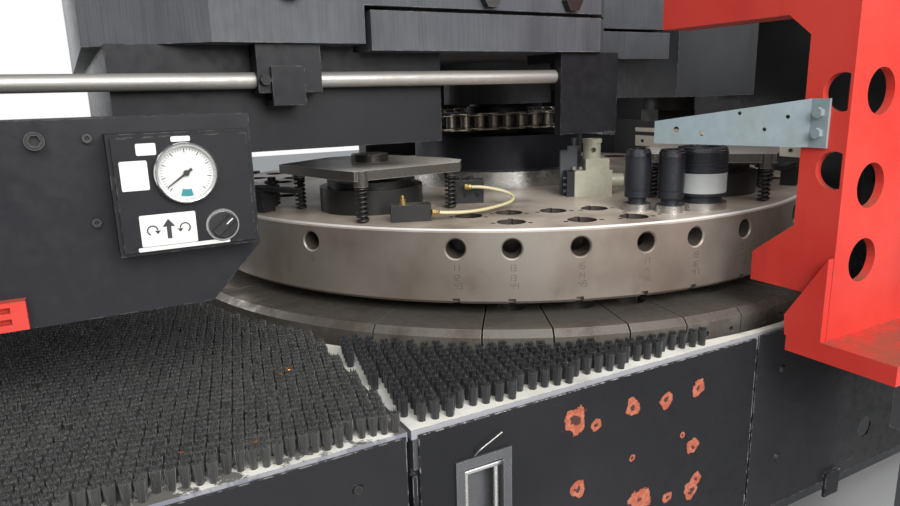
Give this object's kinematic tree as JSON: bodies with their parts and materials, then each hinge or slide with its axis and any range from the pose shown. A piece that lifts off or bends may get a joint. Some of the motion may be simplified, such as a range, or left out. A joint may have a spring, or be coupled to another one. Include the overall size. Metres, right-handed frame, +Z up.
{
  "type": "turret punch press",
  "caption": "turret punch press with upper and lower turret, chain drive, rotating stations, brush tables and a red carriage base",
  "frame": {"origin": "on the floor under the turret axis", "axes": "+Z up along the turret axis, +X along the front apron away from the drive, -Y to the tool change side"},
  "size_m": [4.6, 3.8, 2.2],
  "materials": {
    "frame_paint": "semi-matt dark grey paint",
    "slab_paint": "worn grey paint over flame-cut plate",
    "black_paint": "semi-matt black paint with dust",
    "apron_paint": "black paint, peeled to orange primer in spots",
    "red_paint": "gloss red paint",
    "cream_paint": "chipped cream paint",
    "motor_paint": "dark blue paint",
    "label_white": "blank label plates",
    "gauge_bezel": "plated bezel round a pale dial",
    "black_plastic": "moulded",
    "rail_steel": "drawn bar, dulled",
    "turret_steel": "ground steel with brown oil film",
    "ground_steel": "bright ground steel",
    "plate_steel": "ground plate, dulled",
    "dark_steel": "blackened, oily",
    "chain_steel": "oiled chain steel",
    "spring_steel": "black oxide",
    "screw_steel": "zinc plated, dulled",
    "tool_black": "blackened canister with a blank pale band",
    "fitting_black": "black oxide",
    "zinc": "zinc casting",
    "tube_nylon": "pale yellow tube",
    "bristle": "nylon bristles",
    "handle_steel": "polished pull",
    "galvanised": "galvanised sheet"
  },
  "bodies": {
    "machine_frame": {"bridge_frame": "frame_paint", "floor_pads": "frame_paint", "upper_slab": "slab_paint", "screws": "screw_steel", "drive_housing": "black_paint", "front_hanger": "black_paint", "guard_rail": "rail_steel", "rail_bracket": "black_paint", "control_arm": "black_paint", "slot_block": "red_paint", "control_box": "black_paint", "label_plates": "label_white", "pressure_gauge": "gauge_bezel", "bearings": "slab_paint", "gearmotors": "motor_paint", "drive_chains": "chain_steel", "ram_housing": "frame_paint", "die_anvil": "slab_paint", "index_brackets": "slab_paint", "centre_table": "cream_paint", "left_table": "cream_paint", "brush_tufts": "bristle", "table_frame": "frame_paint", "aprons": "apron_paint", "base_rails": "frame_paint"},
    "needle": {"gauge_needle": "black_plastic"},
    "selector": {"selector_knob": "black_plastic"},
    "striker": {"ram": "ground_steel"},
    "pins": {"index_pins": "ground_steel"},
    "door": {"access_door": "apron_paint", "handle_dish": "handle_steel"},
    "bail": {"handle_bail": "handle_steel"},
    "punch_turret": {"upper_turret": "turret_steel", "hub_flange": "ground_steel", "hub_neck": "dark_steel", "upper_sprocket": "dark_steel", "tool_guides": "ground_steel", "turret_fittings": "fitting_black", "valve_block": "zinc", "lube_tube": "tube_nylon", "ai_springs_left": "spring_steel", "ai_springs_right": "spring_steel"},
    "punch_one": {"tool_one": "tool_black"},
    "punch_two": {"tool_two": "tool_black"},
    "punch_three": {"tool_three": "tool_black"},
    "drum_left": {"ai_drum_left": "dark_steel"},
    "drum_right": {"ai_drum_right": "dark_steel"},
    "press_left": {"ai_plate_left": "plate_steel"},
    "press_right": {"ai_plate_right": "plate_steel"},
    "die_turret": {"lower_turret": "turret_steel", "die_holders": "ground_steel", "die_set": "ground_steel"},
    "drive_shafts": {"drive_sprockets": "dark_steel"},
    "base": {"carriage_base": "red_paint", "carriage_beam": "black_paint", "sensor_bracket": "galvanised", "carriage_rails": "ground_steel"},
    "carriage": {"sheet_carriage": "black_paint"},
    "upper_jaw_front": {"jaw_front": "ground_steel"},
    "upper_jaw_rear": {"jaw_rear": "ground_steel"}
  },
  "joints": [
    {"name": "turret_turn", "type": "hinge", "parent": "machine_frame", "child": "punch_turret", "pos_m": [0, 0, 1.003], "axis": [0, 0, 1], "continuous": true},
    {"name": "die_turret_turn", "type": "hinge", "parent": "machine_frame", "child": "die_turret", "pos_m": [0, 0, 0.826], "axis": [0, 0, 1], "continuous": true},
    {"name": "drive_shaft_turn", "type": "hinge", "parent": "machine_frame", "child": "drive_shafts", "pos_m": [-0.67256, 0, 1.208], "axis": [0, 0, 1], "continuous": true},
    {"name": "ram_stroke", "type": "slide", "parent": "machine_frame", "child": "striker", "axis": [0, 0, -1], "range_m": [0, 0.037]},
    {"name": "index_pin_stroke", "type": "slide", "parent": "machine_frame", "child": "pins", "axis": [0.7071, -0.7071, 0], "range_m": [0, 0.05]},
    {"name": "needle_swing", "type": "hinge", "parent": "machine_frame", "child": "needle", "pos_m": [-0.828, -0.68, 1.194], "axis": [0, -1, 0], "range_deg": [-140, 110]},
    {"name": "selector_turn", "type": "hinge", "parent": "machine_frame", "child": "selector", "pos_m": [-0.796, -0.68, 1.135], "axis": [0, -1, 0], "range_deg": [-45, 45]},
    {"name": "door_swing", "type": "hinge", "parent": "machine_frame", "child": "door", "pos_m": [-0.622, -0.788, 0.59], "axis": [0, 0, -1], "range_deg": [0, 110]},
    {"name": "bail_swing", "type": "hinge", "parent": "door", "child": "bail", "pos_m": [-0.535, -0.781, 0.812], "axis": [-1, 0, 0], "range_deg": [0, 85]},
    {"name": "punch_one_stroke", "type": "slide", "parent": "punch_turret", "child": "punch_one", "axis": [0, 0, -1], "range_m": [0, 0.01], "stiffness_N_per_m": 20000, "springref_m": -0.002},
    {"name": "punch_two_stroke", "type": "slide", "parent": "punch_turret", "child": "punch_two", "axis": [0, 0, -1], "range_m": [0, 0.01], "stiffness_N_per_m": 20000, "springref_m": -0.002},
    {"name": "punch_three_stroke", "type": "slide", "parent": "punch_turret", "child": "punch_three", "axis": [0, 0, -1], "range_m": [0, 0.01], "stiffness_N_per_m": 20000, "springref_m": -0.002},
    {"name": "drum_left_turn", "type": "hinge", "parent": "punch_turret", "child": "drum_left", "pos_m": [-0.4486, -0.259, 1.08], "axis": [0, 0, 1], "continuous": true},
    {"name": "press_left_stroke", "type": "slide", "parent": "punch_turret", "child": "press_left", "axis": [0, 0, -1], "range_m": [0, 0.01], "stiffness_N_per_m": 40000, "springref_m": -0.002, "deforming": ["ai_springs_left"]},
    {"name": "drum_right_turn", "type": "hinge", "parent": "punch_turret", "child": "drum_right", "pos_m": [0.18563, -0.48359, 1.08], "axis": [0, 0, 1], "continuous": true},
    {"name": "press_right_stroke", "type": "slide", "parent": "punch_turret", "child": "press_right", "axis": [0, 0, -1], "range_m": [0, 0.01], "stiffness_N_per_m": 40000, "springref_m": -0.002, "deforming": ["ai_springs_right"]},
    {"name": "base_travel", "type": "slide", "parent": "machine_frame", "child": "base", "axis": [1, 0, 0], "range_m": [0, 1.2]},
    {"name": "carriage_travel", "type": "slide", "parent": "base", "child": "carriage", "axis": [0, 1, 0], "range_m": [-1.2, 1.2]},
    {"name": "jaw_front_swing", "type": "hinge", "parent": "carriage", "child": "upper_jaw_front", "pos_m": [0.812, -0.33, 0.962], "axis": [0, 1, 0], "range_deg": [-6, 14]},
    {"name": "jaw_rear_swing", "type": "hinge", "parent": "carriage", "child": "upper_jaw_rear", "pos_m": [0.812, 0.33, 0.962], "axis": [0, 1, 0], "range_deg": [-6, 14]}
  ],
  "couplings": [
    {"joint": "die_turret_turn", "follows": "turret_turn", "ratio": 1},
    {"joint": "drive_shaft_turn", "follows": "turret_turn", "ratio": 2}
  ]
}
